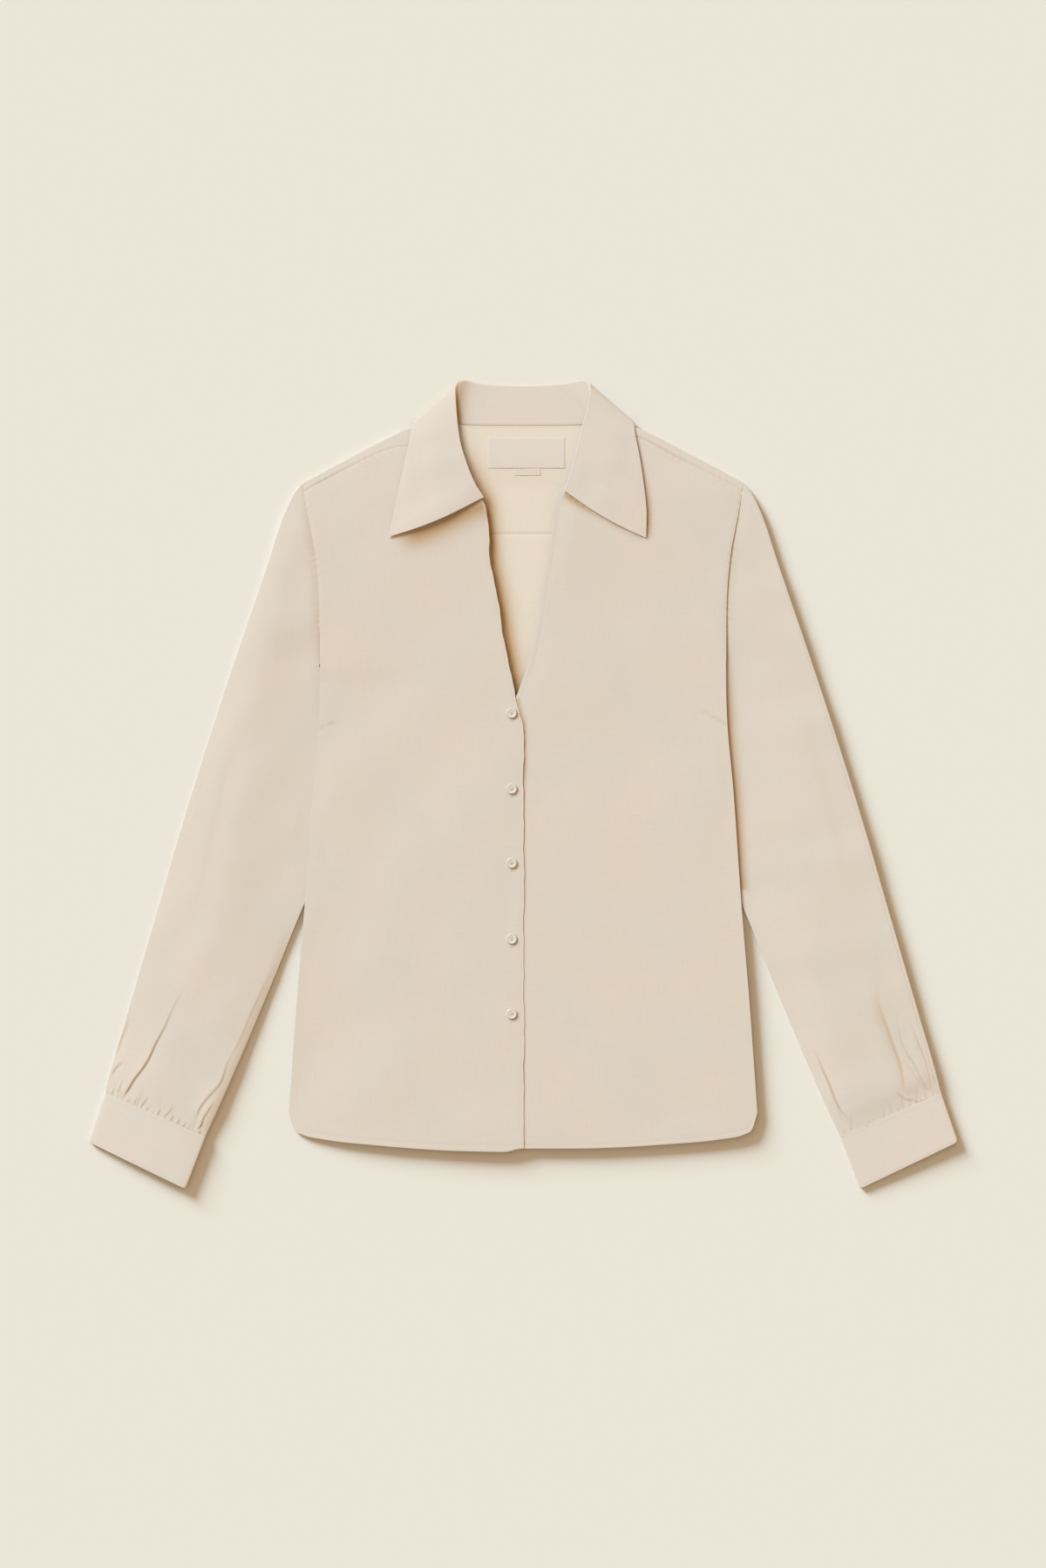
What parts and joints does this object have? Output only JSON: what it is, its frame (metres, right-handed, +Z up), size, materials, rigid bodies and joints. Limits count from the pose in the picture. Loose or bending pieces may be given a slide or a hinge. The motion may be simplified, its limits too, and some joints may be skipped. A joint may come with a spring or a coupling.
{
  "type": "blouse",
  "caption": "Long-sleeved blouse with an open V neck, turned-down collar, gathered cuffs and a buttoned front, laid flat on its back",
  "frame": {"origin": "on the surface the blouse lies on, under the middle of its outline's bounding box", "axes": "+X towards the wearer's left sleeve, which is the picture's right; +Y up the body to the collar; +Z up off the surface, out of the blouse's front"},
  "size_m": [0.7984, 0.7424, 0.0116],
  "materials": {
    "blouse_cloth": "light plain-woven cloth, warm beige, soft matt",
    "band_cloth": "the same cloth doubled and pressed, a little paler",
    "pearl_button": "pearly, glossy",
    "label_tape": "bare woven tape, faint sheen"
  },
  "bodies": {
    "root": {"back": "blouse_cloth", "yoke": "blouse_cloth", "front_right": "blouse_cloth", "front_left": "blouse_cloth", "sleeve_right": "blouse_cloth", "sleeve_left": "blouse_cloth", "cuff_right": "band_cloth", "cuff_left": "band_cloth", "collar": "band_cloth", "button_1": "pearl_button", "button_2": "pearl_button", "button_3": "pearl_button", "button_4": "pearl_button", "button_5": "pearl_button", "neck_label": "label_tape", "size_tab": "label_tape"}
  },
  "joints": []
}
